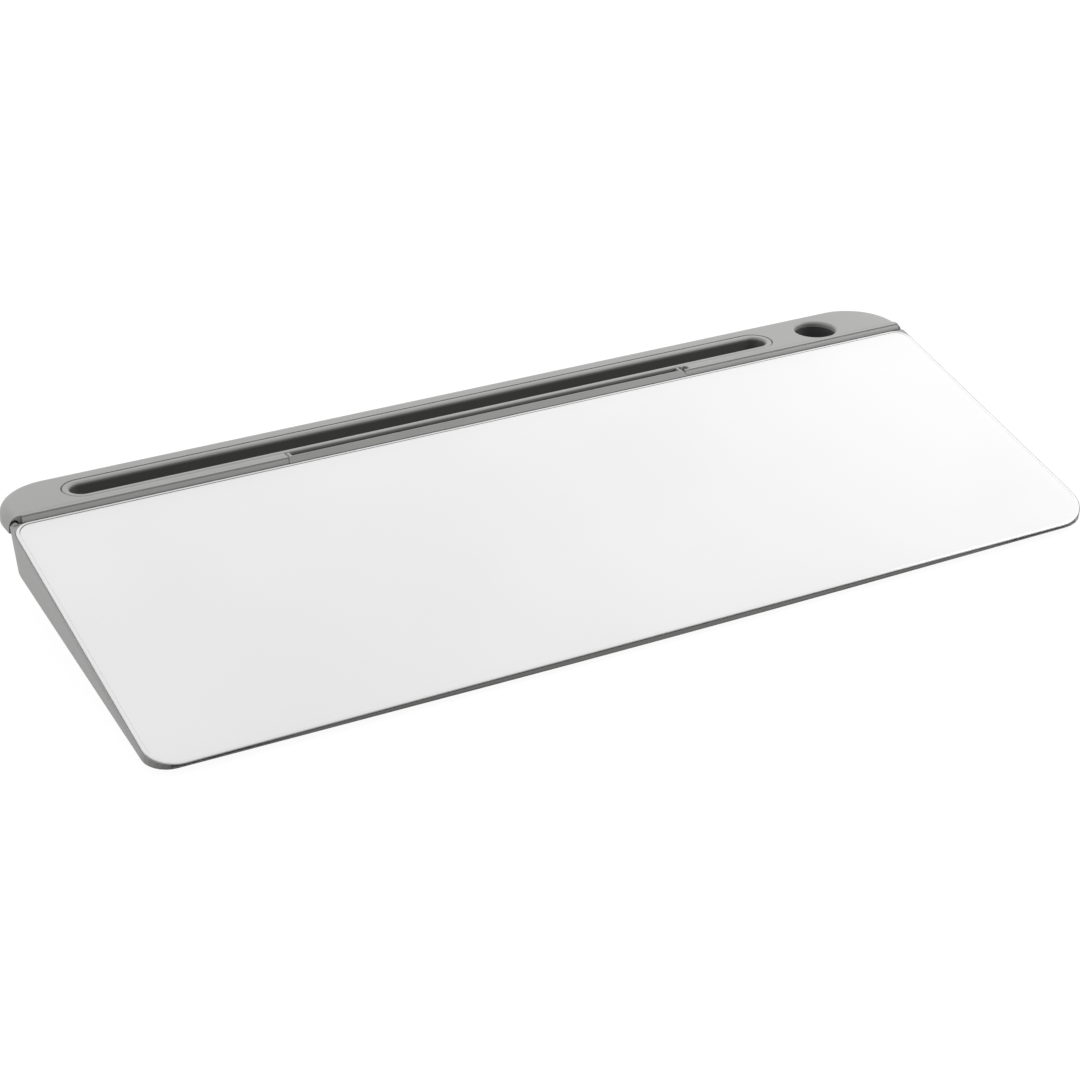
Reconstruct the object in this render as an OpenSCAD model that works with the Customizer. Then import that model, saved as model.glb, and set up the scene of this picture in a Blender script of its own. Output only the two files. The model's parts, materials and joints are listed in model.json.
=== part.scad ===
/* [Writing panel] */
// Width of the writing panel
panel_w = 457.2; // [440:1:480]
// Length of the writing panel along its slope
panel_len = 156.6; // [140:1:170]
// Thickness of the coated steel sheet
panel_t = 1; // [0.8:0.1:1.5]
// Corner radius of the panel at the front left
panel_r_left = 13; // [6:1:22]
// Corner radius of the panel at the front right
panel_r_right = 20; // [6:1:22]
// Corner radius of the panel at the rear
panel_r_rear = 8; // [4:1:12]
// Slope of the panel above the desk in degrees
tilt = 14.6; // [12:0.2:17]
// Height of the panel's top face above the desk at its front edge
panel_front_z = 5.5; // [5:0.1:7]
// Thickness of the foam tape under the panel
tape_t = 0.8; // [0.5:0.1:1]
// How far the panel stands proud of the rim around it
proud = 0.6; // [0.3:0.1:0.8]

/* [Body] */
// Overall depth from front edge to rear edge
depth = 186.4; // [180:0.2:195]
// Rim of the body that shows around the panel
rim = 0.6; // [0.4:0.1:1.5]
// Inward lean of the side walls, millimetres for each millimetre down
lean = 0.11; // [0:0.01:0.2]
// Wall thickness of the body
wall = 2.2; // [1.6:0.1:3]
// Height of the underside above the desk at the front edge
under_front_z = 2.6; // [2.3:0.1:3.5]
// Rise of the underside towards the rear, millimetres for each millimetre back
under_rise = 0.085; // [0.06:0.005:0.1]
// Corner radius of the body at the rear
body_r_rear = 19; // [16:1:30]

/* [Shelf cover] */
// Height of the shelf above the desk
shelf_z = 47.7; // [46:0.1:52]
// Width of the shelf cover
cover_w = 458; // [440:0.2:458.4]
// Corner radius of the cover at the rear
cover_r = 25; // [18:0.5:28]
// Thickness of the shelf plate
cover_t = 2.6; // [2:0.1:3.2]
// Height of the cover's skirt below the shelf
skirt_h = 7.2; // [6:0.1:9]
// Radius of the nose where the shelf drops to the panel
nose_r = 3.9; // [3:0.1:4.2]

/* [Pen tray] */
// Length of the lift-out pen tray
tray_len = 360; // [300:1:365]
// Width of the pen tray's flange
tray_w = 18.2; // [16:0.1:18.4]
// Width of the well that holds the pens
well_w = 12; // [10:0.1:13]
// Depth of the well below the shelf
well_depth = 20; // [16:0.5:21]
// Sideways place of the tray's middle
tray_x = -20; // [-22:0.5:-15]

/* [Device slot and pen hole] */
// Length of the device slot
slot_len = 200; // [160:1:220]
// Width of the device slot from lip to tray
slot_w = 4.1; // [4.1:0.1:5]
// Depth of the device slot below the shelf
slot_depth = 13; // [10:0.5:15]
// Sideways place of the device slot's middle
slot_x = 0.9; // [0.5:0.1:1]
// Radius of the pen hole
hole_r = 10; // [8:0.5:11]
// Sideways place of the pen hole
hole_x = 186.5; // [185:0.5:190]
// Depth of the pen hole below the shelf
hole_depth = 25.5; // [20:0.5:26]

/* [Legs and feet] */
// Sideways place of each folding leg
leg_x = 128; // [110:1:132]
// Width of each folding leg
leg_w = 44; // [30:1:50]
// Radius of the leg's hinge pin
pin_r = 1.5; // [1.2:0.1:2]
// Radius of the front rubber feet
foot_r = 7; // [5:0.5:9]

/* [Hidden] */
$fn = 64;

eps = 0.02;
plastic_grey = "#a3a6a4";
dark_grey = "#5d605f";
rubber_grey = "#3a3c3c";
zinc = "#c9ccce";

// Panel geometry, seen from the side
panel_y0 = rim;
panel_y1 = panel_y0 + panel_len * cos(tilt);
panel_rear_z = panel_front_z + panel_len * sin(tilt);
rim_half_w = panel_w / 2 + rim;
deck_t = 1.6;
tape_w = 20;
function front_r(side) = side > 0 ? panel_r_right : panel_r_left;

// Underside plane of the body
under_angle = atan(under_rise);
function under_z(y) = under_front_z + under_rise * y;
plate_t = 2;
plate_y0 = 20;
bow = 2.3;
bow_y = 0.3;

// Cover geometry
cover_half_w = cover_w / 2;
cover_y0 = panel_y1 - 0.1;
skirt_t = 2;
skirt_z = shelf_z - skirt_h;
rail_left = -223.2;
rail_right = 226.6;
edge_r = 4.8;
body_rear_y = depth - 3.8;
body_top_z = shelf_z - cover_t;
nose_y = cover_y0 + nose_r;
nose_z = shelf_z - nose_r;
cheek_y = cover_y0 + 1.6;

// Bead on the left side wall and the arch over it
bead_r = 1.6;
bead_x = -226.4;
bead_z = panel_rear_z - 1.6;
arch_r = 1.95;
arch_z = bead_z + 0.8;

// Tray, slot and hole
tray_y = cover_y0 + 15.5;
tray_flange_t = 2;
tray_wall = 1.3;
well_len = tray_len - (tray_w - well_w);
slot_y1 = tray_y - tray_w / 2 - 0.1;
slot_y0 = slot_y1 - slot_w;
lip_half = slot_len / 2 + 2.5;
hole_y = tray_y - 0.8;
hole_rim_r = 1.3;
cup_wall = 1.1;
tray_gap = 0.4;
straight_half = tray_len / 2 - tray_w / 2;
strip_y1 = tray_y - tray_w / 2 - tray_gap;
lip_corner_r = 2.6;
notch_r = 1.7;

// Legs
leg_y = 160;
leg_z = under_z(leg_y) + 2.6;
leg_t = 3.2;
leg_back_tilt = 4;
pocket_depth = 6.4;
pocket_len = 27;
pocket_y = leg_y + 5 - pocket_len;
pocket_wall = 1.6;
leg_tip_z = 1.2;

// Screws
base_screw_x = [-190, 0, 190];
base_screw_y = [70, 130];
cover_screw_x = [-212, 167.5, 213];
cover_screw_y = 168;
boss_r = 3.2;
screw_r = 1.45;
pilot_r = 1.5;
head_r = 2.7;
head_h = 1.6;
gusset_z = skirt_z - 4;
gusset_t = 2;
foot_x = 195;
foot_y = 34;
bumper_x = 80;
bumper_y = 168;
bumper_r = foot_r - 2;

// Everything is drawn with its front edge at y = 0 and then centred on the origin
module centred() { translate([0, -depth / 2, 0]) children(); }

// Draws children in the frame of the panel, with z = 0 on the panel's top face
module on_panel() { translate([0, panel_y0, panel_front_z]) rotate([tilt, 0, 0]) children(); }

// Draws children in the frame of the underside, with z = 0 on the underside
module on_underside() { translate([0, 0, under_front_z]) rotate([under_angle, 0, 0]) children(); }

// Outline of the panel with its corner radii, grown by g
module panel_outline(g) {
    half = panel_w / 2 + g;
    rr = panel_r_rear + g;
    for (side = [-1, 1]) {
        rf = front_r(side) + g;
        translate([side > 0 ? 0 : -half, rf - g]) square([half, panel_len + 2 * g - rf - rr]);
        translate([side > 0 ? 0 : rf - half, -g]) square([half - rf, rf + eps]);
        translate([side > 0 ? 0 : rr - half, panel_len + g - rr - eps]) square([half - rr, rr + eps]);
        translate([side * (half - rf), rf - g]) circle(rf);
        translate([side * (half - rr), panel_len + g - rr]) circle(rr);
    }
}

// Thin disc used as a corner of a hull
module disc(r) { cylinder(r = r, h = eps, $fn = 28); }

// Rear quarter of a thin disc, for the left or right corner
module quarter(r, side) {
    rotate([0, 0, side > 0 ? 0 : 90]) rotate_extrude(angle = 90, $fn = 32) square([r, eps]);
}

// Space kept for the panel and a little air above it
module panel_space() {
    on_panel() translate([-panel_w, -1, -8]) cube([2 * panel_w, panel_len + 1.3, 8.1]);
}

// Outer or inner form of the body: walls moved in by inset, roof lowered by drop, floor lowered by sink
module body_form(inset, drop, sink) {
    half = rim_half_w - inset;
    rear = body_rear_y - inset;
    top_rear = cover_half_w - 3.6 - inset;
    low_rear = top_rear - 1.5;
    top = proud + drop;
    hull() {
        for (side = [-1, 1]) {
            r = front_r(side);
            low_r = r - 2.5;
            on_panel() translate([side * (half - r), r + inset, -top]) disc(r);
            on_panel() translate([side * (half - 1), panel_len - 1, -top]) disc(1);
            translate([side * (top_rear - body_r_rear), rear - body_r_rear, body_top_z - top])
                quarter(body_r_rear, side);
            on_underside() {
                translate([side * (half - lean * 2 - low_r), low_r + 2.2 + inset, -sink]) disc(low_r);
                translate([side * (low_rear - body_r_rear), rear - 3 - body_r_rear, -sink])
                    quarter(body_r_rear, side);
            }
        }
        // The lower front edge is bowed: its middle stands a little further forward than its ends
        on_underside() for (x = [-180:45:180])
            translate([x, bow_y + bow * pow(x / 200, 2) + 1 + inset, -sink]) disc(1);
    }
}

// Outline of the cover in plan, with the rear corners rounded, moved in by inset
module cover_outline(inset) {
    half = cover_half_w - inset;
    r = cover_r - inset;
    rear = depth - inset;
    translate([-half, nose_y]) square([2 * half, rear - r - nose_y]);
    translate([-half + r, rear - r - eps]) square([2 * (half - r), r + eps]);
    for (side = [-1, 1]) translate([side * (half - r), rear - r]) circle(r);
}

// Straight or curved bar of the cover's edge: shelf on top, rounded outer edge, skirt below
module edge_profile(reach) {
    translate([0, skirt_z]) square([reach, skirt_h - edge_r]);
    translate([0, skirt_z]) square([reach - edge_r, skirt_h]);
    intersection() {
        translate([reach - edge_r, shelf_z - edge_r]) circle(edge_r);
        translate([0, skirt_z]) square([reach, skirt_h]);
    }
}

// Cover as a solid block with rounded top edges
module cover_block() {
    inner_half = cover_half_w - cover_r;
    corner_y = depth - cover_r;
    for (side = [-1, 1]) {
        translate([side * inner_half, corner_y, 0]) rotate([0, 0, side > 0 ? 0 : 90])
            rotate_extrude(angle = 90) edge_profile(cover_r);
        translate([side * inner_half, corner_y, 0]) rotate([90, 0, 0]) mirror([side > 0 ? 0 : 1, 0, 0])
            linear_extrude(corner_y - cheek_y) edge_profile(cover_r);
    }
    translate([-inner_half, corner_y, 0]) rotate([90, 0, 90])
        linear_extrude(2 * inner_half) edge_profile(cover_r);
    translate([-inner_half - eps, nose_y, skirt_z])
        cube([2 * inner_half + 2 * eps, corner_y - nose_y + eps, skirt_h]);
}

// Rounded nose along the front of the shelf, from x0 to x1
module nose_bar(x0, x1) {
    translate([x0, 0, 0]) rotate([90, 0, 90]) linear_extrude(x1 - x0) {
        intersection() {
            translate([nose_y, nose_z]) circle(nose_r);
            translate([cover_y0 - 1, nose_z - 5]) square([nose_r + 0.95, 12]);
        }
        translate([cover_y0 + 1.4, panel_rear_z - 2.6]) square([nose_r - 1.45, shelf_z - panel_rear_z + 2.5]);
        translate([cover_y0, nose_z - 1]) square([nose_r - 0.05, 1]);
    }
}

// Slot-shaped outline of the pen tray, with full-radius ends
module stadium(length, width) {
    translate([-(length - width) / 2, -width / 2]) square([length - width, width]);
    for (side = [-1, 1]) translate([side * (length - width) / 2, 0]) circle(width / 2);
}

module body_shell() color(plastic_grey) centred() {
    difference() {
        body_form(0, 0, 0);
        // Hollow behind the solid front wedge
        intersection() {
            body_form(wall, panel_t + tape_t + deck_t - proud, 12);
            translate([-300, plate_y0, -20]) cube([600, 300, 100]);
        }
        panel_recess();
        // Seat for the cover
        translate([-rim_half_w - 1, panel_y1 + 0.3, skirt_z - 0.2]) cube([2 * rim_half_w + 2, depth, 20]);
    }
    // Rounded bead that carries the left side wall on under the cover's arch
    difference() {
        translate([bead_x, panel_y1 - 0.6, bead_z]) rotate([-90, 0, 0]) cylinder(r = bead_r, h = 5);
        panel_recess();
    }
    difference() {
        gussets();
        for (x = cover_screw_x) translate([x, cover_screw_y, gusset_z - 1])
            cylinder(r = screw_r + 0.15, h = gusset_t + 2);
    }
    // Bosses for the base screws, from the deck down to the bottom plate
    intersection() {
        body_form(wall / 2, panel_t + tape_t + 0.3 - proud, 0);
        for (x = base_screw_x) for (y = base_screw_y)
            translate([x, y, under_z(y) + plate_t + 0.3]) difference() {
                cylinder(r = boss_r, h = 40);
                translate([0, 0, -1]) cylinder(r = pilot_r, h = 9);
            }
    }
}

// Recess for the panel and its tape
module panel_recess() {
    on_panel() translate([0, 0, -panel_t - tape_t - eps]) linear_extrude(12) panel_outline(0.15);
}

// Small shelves inside the rear wall that the cover is screwed to
module gussets() intersection() {
    body_form(wall / 2, 0, 0);
    translate([0, 0, gusset_z]) linear_extrude(gusset_t) {
        for (side = [-1, 1]) translate([side > 0 ? 202 : -242, cover_screw_y - 8]) square([40, 40]);
        translate([cover_screw_x[1] - 4.5, cover_screw_y - 5]) square([9, 40]);
    }
}

// Outline of the bottom plate, inside the walls of the body
module bottom_outline() {
    half_front = rim_half_w - wall - 1.4;
    half_rear = cover_half_w - wall - 6;
    r = body_r_rear - wall;
    y_rear = body_rear_y - wall - 3.8;
    polygon([
        [-half_front, plate_y0 + 0.4], [half_front, plate_y0 + 0.4],
        for (a = [0:5:90]) [half_rear - r + r * cos(a), y_rear - r + r * sin(a)],
        for (a = [90:5:180]) [-half_rear + r + r * cos(a), y_rear - r + r * sin(a)]
    ]);
}

// Space that a folded leg lies in
module pocket_space() {
    translate([-leg_w / 2 - 1, pocket_y, -1]) cube([leg_w + 2, pocket_len, pocket_depth + 1]);
}

// Box round that space
module pocket_box() {
    w = pocket_wall;
    translate([-leg_w / 2 - 1 - w, pocket_y - w, 0])
        cube([leg_w + 2 + 2 * w, pocket_len + 2 * w, pocket_depth + w]);
}

module bottom_plate() color(dark_grey) centred() {
    difference() {
        on_underside() {
            linear_extrude(plate_t) bottom_outline();
            for (side = [-1, 1]) translate([side * leg_x, 0, 0]) pocket_box();
            // Ribs that stiffen the plate
            for (y = [45, 90]) translate([-200, y, plate_t - eps]) cube([400, 1.6, y * 0.06]);
        }
        for (side = [-1, 1]) {
            on_underside() translate([side * leg_x, 0, 0]) pocket_space();
            translate([side * leg_x - leg_w, leg_y, leg_z])
                rotate([0, 90, 0]) cylinder(r = pin_r, h = 2 * leg_w);
            translate([side * foot_x, foot_y, -1]) cylinder(r = foot_r, h = 1 + under_z(foot_y) + 0.9);
            translate([side * bumper_x, bumper_y, -1])
                cylinder(r = bumper_r, h = 1 + under_z(bumper_y) + 0.9);
        }
        for (x = base_screw_x) for (y = base_screw_y) screw_space(x, y);
    }
}

// Countersunk clearance hole for a screw from below
module screw_space(x, y) {
    translate([x, y, under_z(y) - 2]) cylinder(r = head_r + 0.2, h = 2 + head_h - 0.4);
    translate([x, y, under_z(y) - 2]) cylinder(r = screw_r + 0.15, h = 12);
}

module writing_panel() color("white") centred()
    on_panel() translate([0, 0, -panel_t]) linear_extrude(panel_t) panel_outline(0);

// Strips of foam tape that hold the panel on its deck
module panel_tape() color("#e8e8e4") centred()
    on_panel() translate([0, 0, -panel_t - tape_t]) linear_extrude(tape_t) {
        for (y = [6, panel_len / 2 - tape_w / 2, panel_len - tape_w - 6])
            translate([-panel_w / 2 + 16, y]) square([panel_w - 32, tape_w]);
        for (side = [-1, 1])
            translate([side * (panel_w / 2 - 26) - tape_w / 2, 24]) square([tape_w, panel_len - 48]);
    }

// Opening in the shelf for the tray: a rebate for the flange and a hole for the well
module tray_opening() {
    translate([tray_x, tray_y, shelf_z - tray_flange_t - 0.2])
        linear_extrude(6) stadium(tray_len + 2 * tray_gap, tray_w + 2 * tray_gap);
    translate([tray_x, tray_y, 0])
        linear_extrude(60) stadium(well_len + 2 * tray_wall + 1, well_w + 2 * tray_wall + 1);
}

// Pen hole with a rounded rim
module hole_cut() {
    rim_r = hole_rim_r;
    translate([hole_x, hole_y, 0]) {
        cylinder(r = hole_r, h = 80);
        rotate_extrude() difference() {
            translate([0, shelf_z - rim_r]) square([hole_r + rim_r, rim_r + 1]);
            translate([hole_r + rim_r, shelf_z - rim_r]) circle(rim_r);
        }
    }
}

module top_cover() color(plastic_grey) centred() {
    difference() {
        union() {
            difference() {
                cover_block();
                // Hollow under the shelf plate
                translate([0, 0, skirt_z - 1]) linear_extrude(skirt_h - cover_t + 1) difference() {
                    cover_outline(skirt_t + 1);
                    translate([-300, 0]) square([600, nose_y + 0.3]);
                }
            }
            for (x = cover_screw_x) translate([x, cover_screw_y, gusset_z + gusset_t + 0.1])
                cylinder(r = boss_r, h = shelf_z - cover_t - gusset_z - gusset_t);
        }
        panel_space();
        tray_opening();
        hole_cut();
        // The front belongs to the nose rails and the device lip, but for a cheek at each end
        translate([rail_left - 0.1, cheek_y - 1, skirt_z - 1])
            cube([rail_right - rail_left + 0.2, nose_y - cheek_y + 1, 2 * skirt_h]);
        translate([tray_x - straight_half, nose_y - 1, 0]) cube([2 * straight_half, tray_y - nose_y, 80]);
        for (x = cover_screw_x) translate([x, cover_screw_y, 0]) cylinder(r = pilot_r, h = gusset_z + 8);
        cover_arch();
        cup_space();
    }
}

// Rounded rails along the front of the shelf, each with the narrow strip of shelf in front of the tray
module nose_rails() color(plastic_grey) centred() difference() {
    union() {
        nose_bar(rail_left, slot_x - lip_half);
        nose_bar(slot_x + lip_half, rail_right);
        shelf_strip(tray_x - straight_half + eps, slot_x - lip_half);
        shelf_strip(slot_x + lip_half, tray_x + straight_half - eps);
    }
    panel_space();
    cover_arch();
    cup_space();
    // Finger notch beside the right end of the lip
    translate([slot_x + lip_half + 1.3, slot_y0 + 1.6, skirt_z]) cylinder(r = notch_r, h = skirt_h + 1);
}

// Room for the pen cup under the shelf
module cup_space() {
    translate([hole_x, hole_y, 0]) cylinder(r = hole_r + cup_wall + 0.05, h = shelf_z - cover_t);
}

// Narrow strip of shelf between a rail and the tray, from x0 to x1
module shelf_strip(x0, x1) {
    translate([x0, nose_y - 0.05 - eps, shelf_z - cover_t])
        cube([x1 - x0, strip_y1 - nose_y + 0.05 + eps, cover_t]);
}

// Arched notch where the bead of the side wall runs under the cover
module cover_arch() {
    translate([bead_x, cover_y0 - 2, arch_z]) rotate([-90, 0, 0]) cylinder(r = arch_r, h = 9);
    translate([bead_x - arch_r, cover_y0 - 2, skirt_z - 2]) cube([2 * arch_r, 9, arch_z - skirt_z + 2]);
}

// Separate strip with a flat sloped face: the front wall and floor of the device slot
module device_lip() color(plastic_grey) centred() translate([slot_x, 0, 0]) {
    top_z = shelf_z - 0.1;
    floor_z = shelf_z - slot_depth;
    difference() {
        translate([-lip_half + 0.15, 0, 0]) rotate([90, 0, 90]) linear_extrude(2 * lip_half - 0.3)
            polygon([
                [cover_y0, panel_rear_z - 1], [cover_y0, panel_rear_z + 0.2],
                [slot_y0 - 0.3, top_z], [slot_y0, top_z],
                [slot_y0, floor_z], [slot_y1 - 0.2, floor_z], [slot_y1 - 0.2, floor_z - 1.4],
                [slot_y0 - 1.4, floor_z - 1.4], [slot_y0 - 1.4, panel_rear_z - 2.6],
                [cover_y0 + 1.5, panel_rear_z - 2.6]
            ]);
        panel_space();
        for (side = [-1, 1]) lip_corner(side);
    }
    // Cheeks that close the ends of the slot
    for (side = [-1, 1]) difference() {
        translate([side > 0 ? slot_len / 2 : -lip_half + 0.15, slot_y0 - eps, floor_z - 1.4])
            cube([lip_half - slot_len / 2 - 0.15, slot_w - 0.15, slot_depth + 1.1]);
        lip_corner(side);
    }
}

// What is cut from the lip to round its upper corners, seen from the front
module lip_corner(side) {
    r = lip_corner_r;
    x = lip_half - 0.15 - r;
    translate([0, slot_y1 + 2, 0]) rotate([90, 0, 0]) linear_extrude(12) difference() {
        translate([side > 0 ? x : -x - r - 1, shelf_z - r]) square([r + 1, r + 1]);
        translate([side * x, shelf_z - r]) circle(r);
    }
}

// Thin rubber pad in the bottom of the device slot
module slot_pad() color(rubber_grey) centred()
    translate([slot_x - slot_len / 2 + 1, slot_y0 + 0.2, shelf_z - slot_depth])
        cube([slot_len - 2, slot_w - 0.6, 0.8]);

module pen_tray() color(plastic_grey) centred() translate([tray_x, tray_y, 0]) {
    floor_z = shelf_z - well_depth;
    difference() {
        union() {
            translate([0, 0, shelf_z - tray_flange_t])
                linear_extrude(tray_flange_t) stadium(tray_len, tray_w);
            translate([0, 0, floor_z - tray_wall]) linear_extrude(well_depth + tray_wall - 0.5)
                stadium(well_len + 2 * tray_wall, well_w + 2 * tray_wall);
        }
        translate([0, 0, floor_z]) linear_extrude(well_depth + 1) stadium(well_len, well_w);
    }
}

// Soft strip on the floor of the pen tray
module tray_liner() color(rubber_grey) centred()
    translate([tray_x, tray_y, shelf_z - well_depth]) linear_extrude(0.8) stadium(well_len - 1, well_w - 1);

module pen_cup() color(plastic_grey) centred() translate([hole_x, hole_y, 0]) {
    floor_z = shelf_z - hole_depth;
    difference() {
        translate([0, 0, floor_z - cup_wall])
            cylinder(r = hole_r + cup_wall, h = hole_depth + cup_wall - cover_t);
        translate([0, 0, floor_z]) cylinder(r = hole_r, h = hole_depth + 5);
    }
}

// Folding leg, drawn open: a plate that hangs from its pin and leans back a little
module leg(side) centred() translate([side * leg_x, leg_y, leg_z]) {
    reach = (leg_z - leg_tip_z) / cos(leg_back_tilt);
    rotate([leg_back_tilt, 0, 0]) difference() {
        union() {
            rotate([0, 90, 0]) translate([0, 0, -leg_w / 2]) cylinder(r = leg_t / 2 + 0.5, h = leg_w);
            translate([-leg_w / 2, -leg_t / 2, -reach]) cube([leg_w, leg_t, reach]);
        }
        rotate([0, 90, 0]) translate([0, 0, -leg_w]) cylinder(r = pin_r + 0.06, h = 2 * leg_w);
        translate([0, 0, -reach * 0.56]) rotate([90, 0, 0]) translate([0, 0, -leg_t])
            linear_extrude(2 * leg_t) square([leg_w - 16, 5], center = true);
        translate([-3, -leg_t, -3]) cube([6, 2 * leg_t, 6]);
    }
}
module left_leg() color(dark_grey) leg(-1);
module right_leg() color(dark_grey) leg(1);

// Rubber shoe on the tip of a leg
module leg_pad(side) centred() translate([side * leg_x - leg_w / 2 + 1, 0, 0]) {
    tip_y = leg_y + (leg_z - leg_tip_z) * tan(leg_back_tilt);
    translate([0, tip_y - leg_t / 2 - 0.4, 0]) cube([leg_w - 2, leg_t + 0.8, leg_tip_z - 0.12]);
}
module left_leg_pad() color(rubber_grey) leg_pad(-1);
module right_leg_pad() color(rubber_grey) leg_pad(1);

module leg_pin(side) centred()
    translate([side * leg_x - leg_w / 2 - 2.4, leg_y, leg_z])
        rotate([0, 90, 0]) cylinder(r = pin_r, h = leg_w + 4.8);
module left_leg_pin() color(zinc) leg_pin(-1);
module right_leg_pin() color(zinc) leg_pin(1);

// Small leaf spring in each pocket that snaps the leg into its two positions
module leg_spring(side) centred() on_underside()
    translate([side * leg_x - 2.5, leg_y - 8, pocket_depth - 0.5]) cube([5, 10, 0.5]);
module left_leg_spring() color(zinc) leg_spring(-1);
module right_leg_spring() color(zinc) leg_spring(1);

module front_feet() color(rubber_grey) centred()
    for (side = [-1, 1]) translate([side * foot_x, foot_y, 0])
        cylinder(r = foot_r, h = under_z(foot_y) + 0.9);

// Short bumpers that the rear stands on when the legs are folded away
module rear_feet() color(rubber_grey) centred()
    for (side = [-1, 1]) translate([side * bumper_x, bumper_y, under_z(bumper_y) - 2])
        cylinder(r = bumper_r, h = 2.9);

module screw(x, y, length) {
    translate([x, y, under_z(y)]) {
        difference() {
            cylinder(r = head_r, h = head_h - 0.4);
            translate([0, 0, -0.1]) cylinder(r = 1.1, h = 0.9, $fn = 6);
        }
        cylinder(r = screw_r, h = length);
    }
}
module base_screws() color(zinc) centred() for (x = base_screw_x) for (y = base_screw_y) screw(x, y, 8);
module cover_screws() color(zinc) centred()
    for (x = cover_screw_x) translate([x, cover_screw_y, gusset_z - head_h]) {
        difference() {
            cylinder(r = head_r, h = head_h);
            translate([0, 0, -0.1]) cylinder(r = 1.1, h = 1, $fn = 6);
        }
        cylinder(r = screw_r, h = head_h + gusset_t + 5);
    }

body_shell();
bottom_plate();
writing_panel();
panel_tape();
top_cover();
nose_rails();
device_lip();
pen_tray();
pen_cup();
left_leg();
right_leg();
left_leg_pad();
right_leg_pad();
left_leg_pin();
right_leg_pin();
left_leg_spring();
right_leg_spring();
front_feet();
rear_feet();
base_screws();
cover_screws();
tray_liner();
slot_pad();
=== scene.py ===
import json
import math
import bpy
import bmesh
from mathutils import Matrix, Vector


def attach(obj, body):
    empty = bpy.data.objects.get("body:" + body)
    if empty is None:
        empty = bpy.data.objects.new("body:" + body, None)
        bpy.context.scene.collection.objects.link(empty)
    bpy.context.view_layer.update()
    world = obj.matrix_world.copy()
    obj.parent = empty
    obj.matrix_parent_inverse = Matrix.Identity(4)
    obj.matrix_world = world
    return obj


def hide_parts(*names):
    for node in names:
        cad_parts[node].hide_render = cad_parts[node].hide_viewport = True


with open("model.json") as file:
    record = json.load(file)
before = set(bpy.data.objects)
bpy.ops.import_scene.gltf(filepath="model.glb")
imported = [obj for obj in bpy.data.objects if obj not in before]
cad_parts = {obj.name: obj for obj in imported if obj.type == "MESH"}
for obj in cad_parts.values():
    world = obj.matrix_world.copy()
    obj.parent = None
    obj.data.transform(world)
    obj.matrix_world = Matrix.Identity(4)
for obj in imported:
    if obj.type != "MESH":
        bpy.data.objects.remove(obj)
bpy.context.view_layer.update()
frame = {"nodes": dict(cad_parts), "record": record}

MM = 0.001
HALF_DEPTH = 93.2          # the row frame's y is 93.2 mm behind the front edge

# Sizes, in mm, with y counted from the front edge
TILT = math.radians(14.6)
PANEL_W = 457.2
PANEL_LEN = 156.6
PANEL_Y0 = 0.6
PANEL_FRONT_Z = 5.5
PANEL_Y1 = PANEL_Y0 + PANEL_LEN * math.cos(TILT)
PANEL_R_FRONT_RIGHT = 20.0     # the front corners are unequal, as in the photo
PANEL_R_FRONT_LEFT = 13.0
PANEL_R_REAR = 8.0
# Inset and height above the top face, from the underside round the edge to the flat
PANEL_BEVEL = (
    (0.25, -1.0),
    (0.0, -0.8),
    (0.0, -0.32),
    (0.12, -0.2),
    (0.5, -0.13),
    (1.2, -0.02),
    (1.4, 0.0),
)
EDGE_LINE_INSET = 1.5
EDGE_LINE_HEIGHT = 0.03
SHELF_Z = 47.7
TRAY_X = -20.0
TRAY_Y = PANEL_Y1 - 0.1 + 15.5
TRAY_FLANGE = (360.0, 18.2)    # length and width
TRAY_FLANGE_THICK = 2.0
TRAY_RIM_R = 0.7
TRAY_WELL = (353.8, 12.0)      # length and width
TRAY_DEPTH = 20
TRAY_WALL = 1.3


def pt(x, y, z):
    """A point in millimetres, with y counted from the front edge, as a vector in the row frame."""
    return Vector((x * MM, (y - HALF_DEPTH) * MM, z * MM))


def on_panel(x, s, h):
    """A point s millimetres up the slope and h above the panel's top face."""
    y = PANEL_Y0 + s * math.cos(TILT) - h * math.sin(TILT)
    z = PANEL_FRONT_Z + s * math.sin(TILT) + h * math.cos(TILT)
    return pt(x, y, z)


# Materials
def new_material(name):
    mat = bpy.data.materials.new(name)
    mat.use_nodes = True
    nodes, links = mat.node_tree.nodes, mat.node_tree.links
    return mat, nodes, links, nodes["Principled BSDF"]


def mixed_colour(nodes, links, low, high, scale, detail, coords):
    """Noise between two near colours."""
    tex = nodes.new("ShaderNodeTexNoise")
    tex.inputs["Scale"].default_value = scale
    tex.inputs["Detail"].default_value = detail
    links.new(coords, tex.inputs["Vector"])
    ramp = nodes.new("ShaderNodeValToRGB")
    ramp.color_ramp.elements[0].position = 0.35
    ramp.color_ramp.elements[1].position = 0.65
    ramp.color_ramp.elements[0].color = (*low, 1)
    ramp.color_ramp.elements[1].color = (*high, 1)
    links.new(tex.outputs["Fac"], ramp.inputs["Fac"])
    return ramp.outputs["Color"]


def grain(nodes, links, scale, strength, distance, coords):
    """Fine surface texture as a bump."""
    tex = nodes.new("ShaderNodeTexNoise")
    tex.inputs["Scale"].default_value = scale
    tex.inputs["Detail"].default_value = 3
    links.new(coords, tex.inputs["Vector"])
    bump = nodes.new("ShaderNodeBump")
    bump.inputs["Strength"].default_value = strength
    bump.inputs["Distance"].default_value = distance
    links.new(tex.outputs["Fac"], bump.inputs["Height"])
    return bump


def remap(nodes, links, value, start, end):
    """The value of a socket, moved from the range start to the range end."""
    level = nodes.new("ShaderNodeMapRange")
    level.inputs["From Min"].default_value = start[0]
    level.inputs["From Max"].default_value = start[1]
    level.inputs["To Min"].default_value = end[0]
    level.inputs["To Max"].default_value = end[1]
    links.new(value, level.inputs["Value"])
    return level.outputs["Result"]


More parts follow.
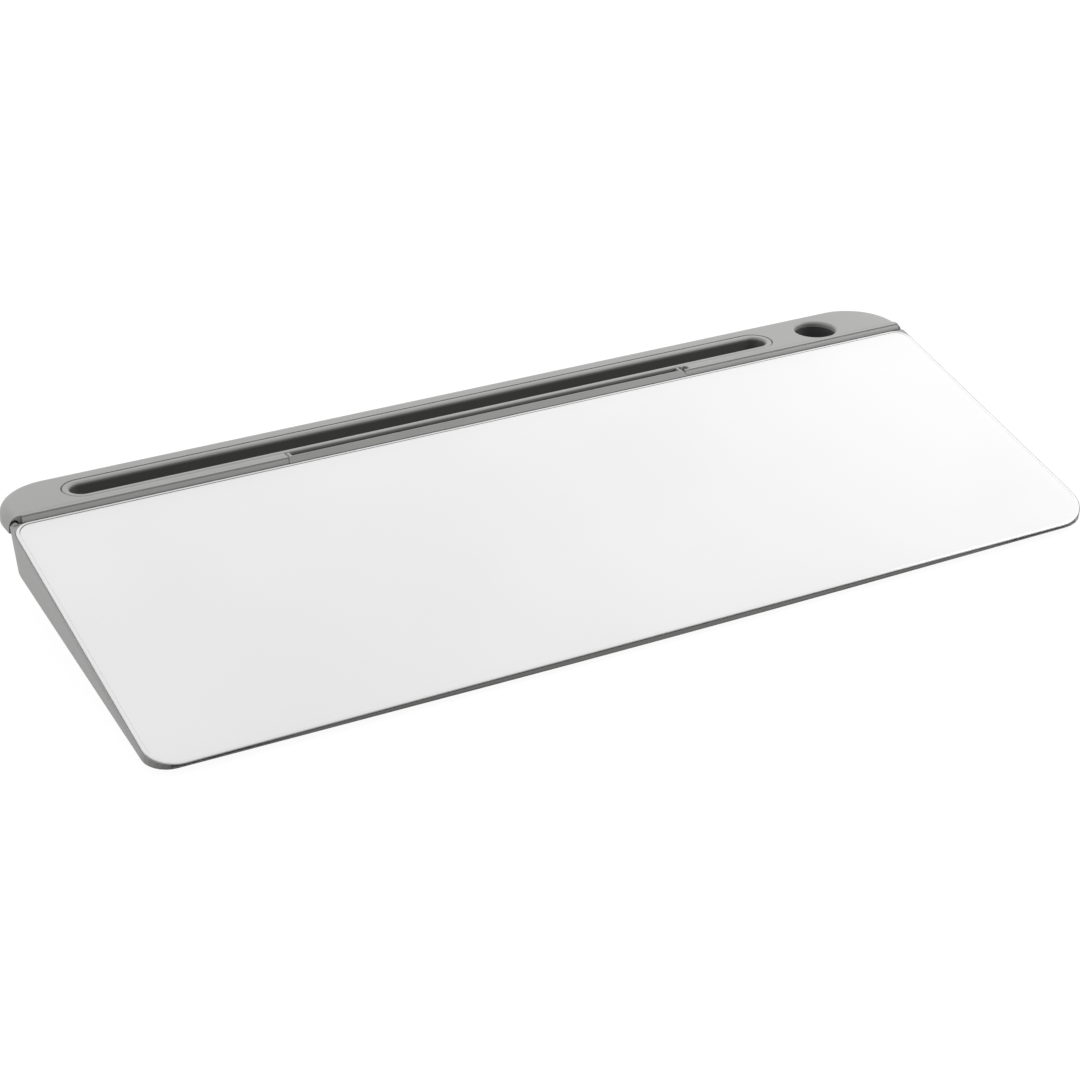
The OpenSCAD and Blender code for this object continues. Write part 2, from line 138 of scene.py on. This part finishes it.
def plastic(name, low, high, rough, bump_strength=0.12, specular=0.4):
    mat, nodes, links, bsdf = new_material(name)
    coords = nodes.new("ShaderNodeTexCoord").outputs["Object"]
    links.new(mixed_colour(nodes, links, low, high, 30, 4, coords), bsdf.inputs["Base Color"])
    bump = grain(nodes, links, 2600, bump_strength, 0.00008, coords)
    links.new(bump.outputs["Normal"], bsdf.inputs["Normal"])
    bsdf.inputs["Roughness"].default_value = rough
    bsdf.inputs["Specular IOR Level"].default_value = specular
    return mat


def shade_painted_plastic(name, low, high, rough, top, bottom, share):
    """The shell's plastic with painted shade, darker down inside a narrow hollow.
    It has its full colour at height top and the given share of it at height bottom, in mm; the darkening
    is painted shade, not a colour of the plastic."""
    mat = plastic(name, low, high, rough)
    nodes, links = mat.node_tree.nodes, mat.node_tree.links
    bsdf = nodes["Principled BSDF"]
    source = bsdf.inputs["Base Color"].links[0].from_socket
    axes = nodes.new("ShaderNodeSeparateXYZ")
    links.new(nodes.new("ShaderNodeTexCoord").outputs["Object"], axes.inputs[0])
    # painted shade: the base colour is scaled down with height
    level = remap(nodes, links, axes.outputs["Z"], (bottom * MM, top * MM), (share, 1.0))
    scale = nodes.new("ShaderNodeVectorMath")
    scale.operation = "SCALE"
    links.new(source, scale.inputs[0])
    links.new(level, scale.inputs["Scale"])
    links.new(scale.outputs[0], bsdf.inputs["Base Color"])
    return mat


def srgb(v):
    v = v / 255
    return v / 12.92 if v <= 0.04045 else ((v + 0.055) / 1.055) ** 2.4


def grey(v, dr=0, db=0):
    return (srgb(v + dr), srgb(v), srgb(v + db))


SHELL = plastic("shell_grey", grey(161, -1, -2), grey(165, -1, -2), 0.42)
# painted shade for the tray and pen cup: the shell's grey, falling to 0.3 of it below 45.6 mm
WELL_PAINTED_SHADE = shade_painted_plastic("shell_painted_well_shade", grey(161, -1, -2), grey(165, -1, -2), 0.42, 47.1, 45.6, 0.3)
BASE = plastic("base_grey", grey(104), grey(110), 0.5)
RUBBER = plastic("dark_rubber", grey(56), grey(62), 0.75, 0.3, 0.2)
TAPE = plastic("tape_foam", grey(226, 0, -4), grey(232, 0, -4), 0.8, 0.4, 0.2)


def panel_material():
    mat, nodes, links, bsdf = new_material("panel_white")
    coords = nodes.new("ShaderNodeTexCoord").outputs["Object"]
    links.new(mixed_colour(nodes, links, grey(243), grey(246), 9, 2, coords), bsdf.inputs["Base Color"])
    bsdf.inputs["Roughness"].default_value = 0.16
    bsdf.inputs["Specular IOR Level"].default_value = 0.35
    return mat


def steel_material():
    mat, nodes, links, bsdf = new_material("plated_steel")
    coords = nodes.new("ShaderNodeTexCoord").outputs["Object"]
    links.new(mixed_colour(nodes, links, grey(186), grey(200), 180, 3, coords), bsdf.inputs["Base Color"])
    links.new(grain(nodes, links, 1800, 0.15, 0.00004, coords).outputs["Normal"], bsdf.inputs["Normal"])
    bsdf.inputs["Metallic"].default_value = 1
    bsdf.inputs["Roughness"].default_value = 0.32
    return mat


# painted reflection: grey for the dark line along the panel's bevel
REFLECTION_GREY = plastic("painted_reflection_grey", grey(120), grey(126), 0.6)
PANEL = panel_material()
STEEL = steel_material()
BY_SLOT = {
    "shell_grey": SHELL,
    "base_grey": BASE,
    "dark_rubber": RUBBER,
    "tape_foam": TAPE,
    "panel_white": PANEL,
    "plated_steel": STEEL,
}

slots = {row["node"]: row["material_slot"] for row in frame["record"]["subparts"]}
for name, obj in frame["nodes"].items():
    obj.data.materials.clear()
    obj.data.materials.append(BY_SLOT[slots[name]])
    obj.data.shade_smooth()
    obj.data.set_sharp_from_angle(angle=math.radians(28))


# Mesh helpers
def make_object(name, verts, faces, mat, body, sharp=30):
    mesh = bpy.data.meshes.new(name)
    mesh.from_pydata([tuple(v) for v in verts], [], faces)
    mesh.validate()
    mesh.update()
    obj = bpy.data.objects.new(name, mesh)
    bpy.context.scene.collection.objects.link(obj)
    bm = bmesh.new()
    bm.from_mesh(mesh)
    bmesh.ops.recalc_face_normals(bm, faces=bm.faces)
    bm.to_mesh(mesh)
    bm.free()
    mesh.shade_smooth()
    mesh.set_sharp_from_angle(angle=math.radians(sharp))
    mesh.materials.append(mat)
    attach(obj, body)
    return obj


def corner_outline(corners, steps=16):
    """Outline of a rectangle with round corners, counterclockwise from the front right, as (x, y).
    corners holds (centre x, centre y, radius) for front right, rear right, rear left and front left."""
    pts = []
    for (cx, cy, r), start in zip(corners, (-90, 0, 90, 180)):
        for i in range(steps + 1):
            a = math.radians(start + 90 * i / steps)
            pts.append((cx + r * math.cos(a), cy + r * math.sin(a)))
    return pts


def panel_outline(inset, steps=16):
    """The panel's outline, moved in by inset."""
    half = PANEL_W / 2
    rear_y = PANEL_LEN - PANEL_R_REAR
    corners = (
        (half - PANEL_R_FRONT_RIGHT, PANEL_R_FRONT_RIGHT, PANEL_R_FRONT_RIGHT - inset),
        (half - PANEL_R_REAR, rear_y, PANEL_R_REAR - inset),
        (-half + PANEL_R_REAR, rear_y, PANEL_R_REAR - inset),
        (-half + PANEL_R_FRONT_LEFT, PANEL_R_FRONT_LEFT, PANEL_R_FRONT_LEFT - inset),
    )
    return corner_outline(corners, steps)


def stadium(cx, cy, length, width, steps=24):
    """Outline of a slot with full-radius ends, counterclockwise from the right end's front."""
    reach, r, pts = (length - width) / 2, width / 2, []
    for side, start in ((1, -90), (-1, 90)):
        for i in range(steps + 1):
            a = math.radians(start + 180 * i / steps)
            pts.append((cx + side * reach + r * math.cos(a), cy + r * math.sin(a)))
    return pts


def stack(rings, cap_first=True, cap_last=True):
    """Joins rings of equal length into a closed skin."""
    n = len(rings[0])
    verts = [v for ring in rings for v in ring]
    faces = []
    for k in range(len(rings) - 1):
        for i in range(n):
            j = (i + 1) % n
            faces.append((k * n + i, k * n + j, (k + 1) * n + j, (k + 1) * n + i))
    if cap_first:
        faces.append(tuple(range(n - 1, -1, -1)))
    if cap_last:
        faces.append(tuple(range((len(rings) - 1) * n, len(rings) * n)))
    return verts, faces


def build_panel():
    """White sheet with a narrow bevel round its edge."""
    rings = []
    for inset, h in PANEL_BEVEL:
        rings.append([on_panel(x, s, h) for x, s in panel_outline(inset)])
    verts, faces = stack(rings)
    obj = make_object("panel_sheet", verts, faces, PANEL, "base", sharp=50)
    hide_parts("writing_panel")


def build_painted_reflection_line():
    """Painted reflection: a fine grey line where the panel's bevel meets its flat, standing in for the
    dark reflection on that edge; wider at the left, where it shows darker, and thin past the rear corners.
    """
    past_corner = 6            # points that it follows past each rear corner
    spacing = 12               # most mm between two points
    mid = panel_outline(EDGE_LINE_INSET, 24)
    n = len(mid)
    picked = range(n // 4 - past_corner, 3 * n // 4 + past_corner)
    verts, faces, dense = [], [], []
    for i in picked[:-1]:
        (x0, y0), (x1, y1) = mid[i], mid[(i + 1) % n]
        parts = max(1, int(math.hypot(x1 - x0, y1 - y0) / spacing))
        for k in range(parts):
            dense.append((x0 + (x1 - x0) * k / parts, y0 + (y1 - y0) * k / parts))
    dense.append(mid[picked[-1]])
    for i, (x, y) in enumerate(dense):
        x0, y0 = dense[max(0, i - 1)]
        x1, y1 = dense[min(len(dense) - 1, i + 1)]
        d = math.hypot(x1 - x0, y1 - y0)
        nx, ny = (y1 - y0) / d, -(x1 - x0) / d
        fade = max(0.05, min(1, (y - (PANEL_LEN - PANEL_R_REAR)) / 5))
        # the painted reflection line is wider at the left, where it shows darker
        w = (0.2 - x / PANEL_W * 0.14) * fade
        for off, h in ((-w, 0.0), (-w, EDGE_LINE_HEIGHT), (w, EDGE_LINE_HEIGHT), (w, 0.0)):
            verts.append(on_panel(x + nx * off, y + ny * off, h))
    for i in range(len(dense) - 1):
        for k in range(4):
            faces.append((4 * i + k, 4 * i + (k + 1) % 4, 4 * i + 4 + (k + 1) % 4, 4 * i + 4 + k))
    faces += [(0, 1, 2, 3), tuple(4 * (len(dense) - 1) + k for k in (3, 2, 1, 0))]
    make_object("panel_painted_reflection", verts, faces, REFLECTION_GREY, "base")


def build_tray():
    """Lift-out tray: a flange with soft rims round a deep well."""
    floor = SHELF_Z - TRAY_DEPTH
    rings = []

    def ring(size, grow, z):
        outline = stadium(TRAY_X, TRAY_Y, size[0] + 2 * grow, size[1] + 2 * grow)
        rings.append([pt(x, y, z) for x, y in outline])

    ring(TRAY_WELL, TRAY_WALL, floor - TRAY_WALL)
    ring(TRAY_WELL, TRAY_WALL, SHELF_Z - TRAY_FLANGE_THICK)
    ring(TRAY_FLANGE, 0, SHELF_Z - TRAY_FLANGE_THICK)
    for i in range(7):
        a = math.radians(15 * i)
        ring(TRAY_FLANGE, -TRAY_RIM_R * (1 - math.cos(a)), SHELF_Z - TRAY_RIM_R + TRAY_RIM_R * math.sin(a))
    for i in range(9):
        a = math.radians(11.25 * i)
        ring(TRAY_WELL, TRAY_WALL * (1 - math.sin(a)), SHELF_Z - TRAY_WALL + TRAY_WALL * math.cos(a))
    ring(TRAY_WELL, 0, floor + 1.0)
    ring(TRAY_WELL, -0.3, floor + 0.3)
    ring(TRAY_WELL, -1.0, floor)
    verts, faces = stack(rings)
    # the whole tray moulding, its outside walls too, carries the painted shade below the rim
    obj = make_object("tray_moulding", verts, faces, WELL_PAINTED_SHADE, "tray", sharp=40)
    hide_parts("pen_tray")


def soften(name, width, segments=3, angle=35):
    """Small round on the sharp edges of a CAD node."""
    mod = frame["nodes"][name].modifiers.new("round", "BEVEL")
    mod.width = width * MM
    mod.segments = segments
    mod.limit_method = "ANGLE"
    mod.angle_limit = math.radians(angle)
    mod.harden_normals = False


build_panel()
build_painted_reflection_line()
build_tray()
# the pen cup gets the same painted shade down its hole
frame["nodes"]["pen_cup"].data.materials[0] = WELL_PAINTED_SHADE
soften("device_lip", 0.25)
for name in ("left_leg", "right_leg"):
    soften(name, 0.3)


# Floor, light and camera
def sees_white(nodes, links):
    """1 for the rays that see the white background: from the camera, mirrored or let through."""
    path = nodes.new("ShaderNodeLightPath")
    seen = path.outputs["Is Camera Ray"]
    for kind in ("Is Glossy Ray", "Is Transmission Ray"):
        either = nodes.new("ShaderNodeMath")
        either.operation = "MAXIMUM"
        links.new(seen, either.inputs[0])
        links.new(path.outputs[kind], either.inputs[1])
        seen = either.outputs[0]
    return seen


def build_floor():
    size = 6.0
    mesh = bpy.data.meshes.new("floor")
    corners = [(-size, -size, 0), (size, -size, 0), (size, size, 0), (-size, size, 0)]
    mesh.from_pydata(corners, [], [(0, 1, 2, 3)])
    obj = bpy.data.objects.new("floor", mesh)
    bpy.context.scene.collection.objects.link(obj)
    mat = bpy.data.materials.new("floor_white")
    mat.use_nodes = True
    nodes, links = mat.node_tree.nodes, mat.node_tree.links
    bsdf, out = nodes["Principled BSDF"], nodes["Material Output"]
    bsdf.inputs["Base Color"].default_value = (0.1, 0.1, 0.1, 1)
    bsdf.inputs["Roughness"].default_value = 0.9
    bsdf.inputs["Specular IOR Level"].default_value = 0
    glow = nodes.new("ShaderNodeEmission")
    glow.inputs["Color"].default_value = (1, 1, 1, 1)
    share = nodes.new("ShaderNodeMath")
    share.operation = "MULTIPLY"
    share.inputs[1].default_value = 0.95
    links.new(sees_white(nodes, links), share.inputs[0])
    links.new(share.outputs[0], glow.inputs["Strength"])
    both = nodes.new("ShaderNodeAddShader")
    links.new(bsdf.outputs[0], both.inputs[0])
    links.new(glow.outputs[0], both.inputs[1])
    links.new(both.outputs[0], out.inputs["Surface"])
    mesh.materials.append(mat)


def build_world():
    """Soft surround, brightest above and behind, but white for the rays of sees_white."""
    world = bpy.data.worlds.new("studio")
    bpy.context.scene.world = world
    world.use_nodes = True
    nodes, links = world.node_tree.nodes, world.node_tree.links
    nodes.clear()
    out = nodes.new("ShaderNodeOutputWorld")
    coords = nodes.new("ShaderNodeTexCoord")
    dot = nodes.new("ShaderNodeVectorMath")
    dot.operation = "DOT_PRODUCT"
    dot.inputs[1].default_value = Vector((0.1, 0.5, 0.86)).normalized()
    links.new(coords.outputs["Generated"], dot.inputs[0])
    level = remap(nodes, links, dot.outputs["Value"], (-0.2, 0.9), (0.04, 1.03))
    around = nodes.new("ShaderNodeBackground")
    around.inputs["Color"].default_value = (1, 1, 1, 1)
    links.new(level, around.inputs["Strength"])
    white = nodes.new("ShaderNodeBackground")
    white.inputs["Color"].default_value = (1, 1, 1, 1)
    white.inputs["Strength"].default_value = 1
    mix = nodes.new("ShaderNodeMixShader")
    links.new(sees_white(nodes, links), mix.inputs["Fac"])
    links.new(around.outputs[0], mix.inputs[1])
    links.new(white.outputs[0], mix.inputs[2])
    links.new(mix.outputs[0], out.inputs["Surface"])


def area_light(name, place, target, size, power):
    """A rectangular lamp at place, turned towards target, in metres and watts."""
    data = bpy.data.lights.new(name, "AREA")
    data.shape = "RECTANGLE"
    data.size, data.size_y = size
    data.energy = power
    obj = bpy.data.objects.new(name, data)
    bpy.context.scene.collection.objects.link(obj)
    obj.location = place
    obj.rotation_mode = "QUATERNION"
    obj.rotation_quaternion = (Vector(target) - Vector(place)).to_track_quat("-Z", "Y")


def build_camera():
    """The camera as solved from the panel's four corners in the photo."""
    data = bpy.data.cameras.new("camera")
    data.lens = 88.1
    data.sensor_width = 36
    data.clip_start, data.clip_end = 0.05, 50
    obj = bpy.data.objects.new("camera", data)
    bpy.context.scene.collection.objects.link(obj)
    right = Vector((0.8708, -0.4917, 0)).normalized()
    ahead = Vector((0.4424, 0.7837, -0.4360)).normalized()
    up = right.cross(ahead)
    turn = Matrix((right, up, -ahead)).transposed().to_4x4()
    obj.matrix_world = Matrix.Translation((-0.5242, -0.9120, 0.5182)) @ turn
    bpy.context.scene.camera = obj


build_floor()
build_world()
area_light("key", (0.95, -0.16, 0.78), (0.05, 0, 0.03), (0.6, 0.6), 6.8)
area_light("side", (-1.2, 0.15, 0.24), (0, 0.03, 0.02), (0.8, 0.3), 3.2)
build_camera()
bpy.context.scene.view_settings.view_transform = "Standard"
